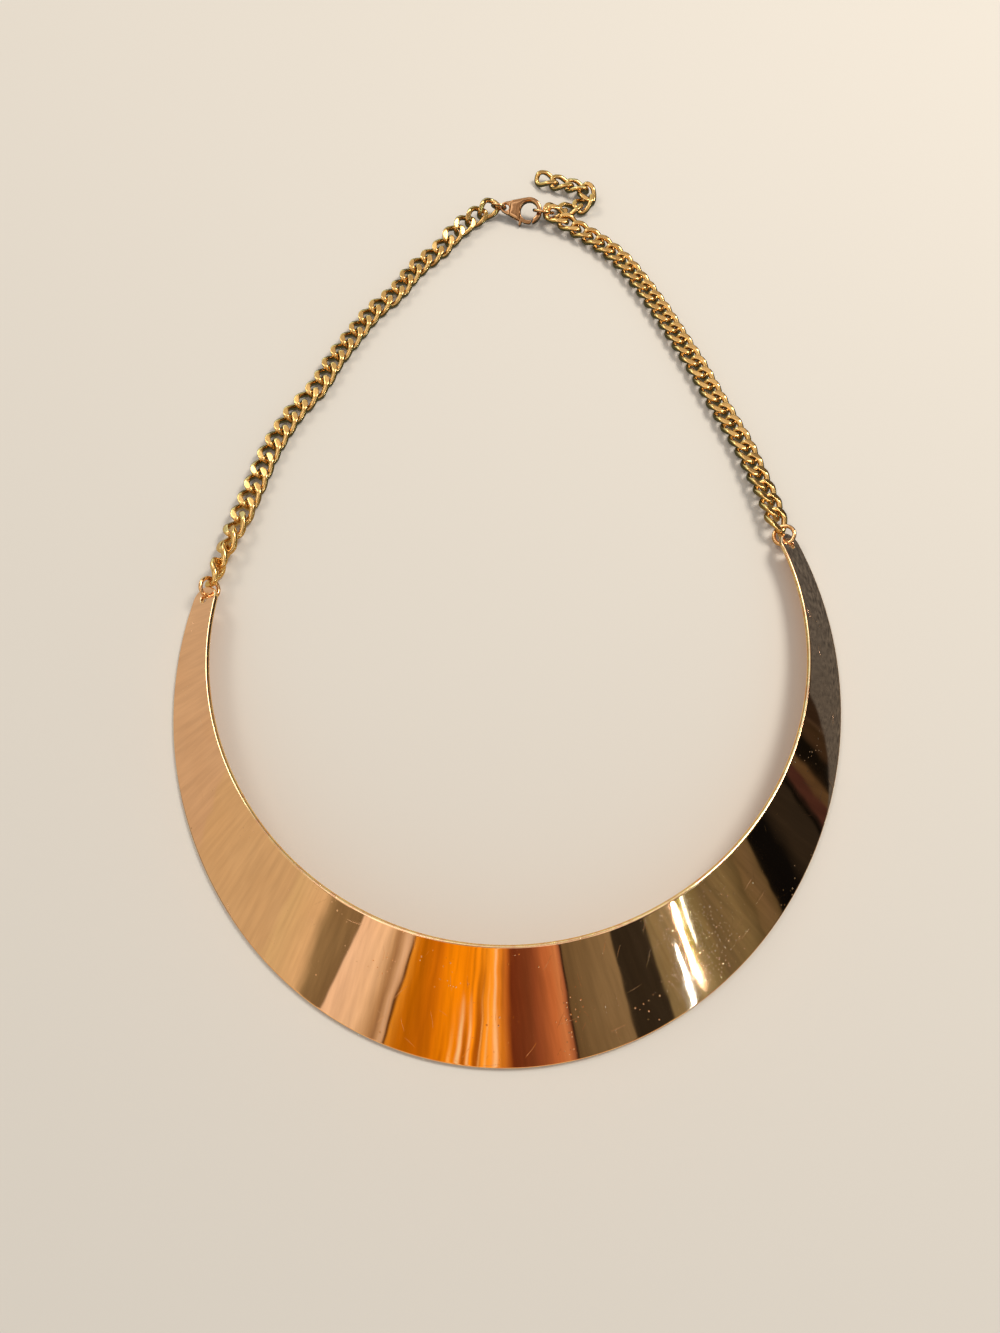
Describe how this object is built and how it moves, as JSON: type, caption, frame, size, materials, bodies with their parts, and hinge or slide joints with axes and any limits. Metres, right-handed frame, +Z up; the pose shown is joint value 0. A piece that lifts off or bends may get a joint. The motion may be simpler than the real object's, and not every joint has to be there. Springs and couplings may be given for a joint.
{
  "type": "collar necklace",
  "caption": "Wide rigid metal collar necklace, open at the back, closed by curb chains, a lobster clasp and a short extension chain.",
  "frame": {"origin": "centre of the bounding box on the surface that the necklace lies on", "axes": "+Z up, -Y towards the front of the collar, +X towards the wearer's left, the clasp and the extension chain at +Y"},
  "size_m": [0.1502, 0.2562, 0.0166],
  "materials": {
    "rose_plate": "mirror polished rose-gold plate with fine scratches",
    "rose_wire": "polished rose-gold plated wire",
    "gold_chain": "polished yellow-gold plated, facets catching the light",
    "rose_clasp": "polished rose-gold plated casting"
  },
  "bodies": {
    "necklace": {"collar_plate": "rose_plate", "jump_ring_left": "rose_wire", "jump_ring_right": "rose_wire", "chain_left": "gold_chain", "chain_right": "gold_chain", "chain_tail": "gold_chain", "end_ring": "rose_wire", "clasp_ring": "rose_wire", "clasp_body": "rose_clasp"},
    "lever": {"clasp_lever": "rose_clasp"}
  },
  "joints": [
    {"name": "clasp_lever_hinge", "type": "hinge", "parent": "necklace", "child": "lever", "pos_m": [-0.00165, 0.10854, 0.00212], "axis": [-0.1144, -0.5621, 0.8192], "range_deg": [0, 30], "stiffness_Nm_per_rad": 0.003, "springref_deg": -11.46}
  ]
}
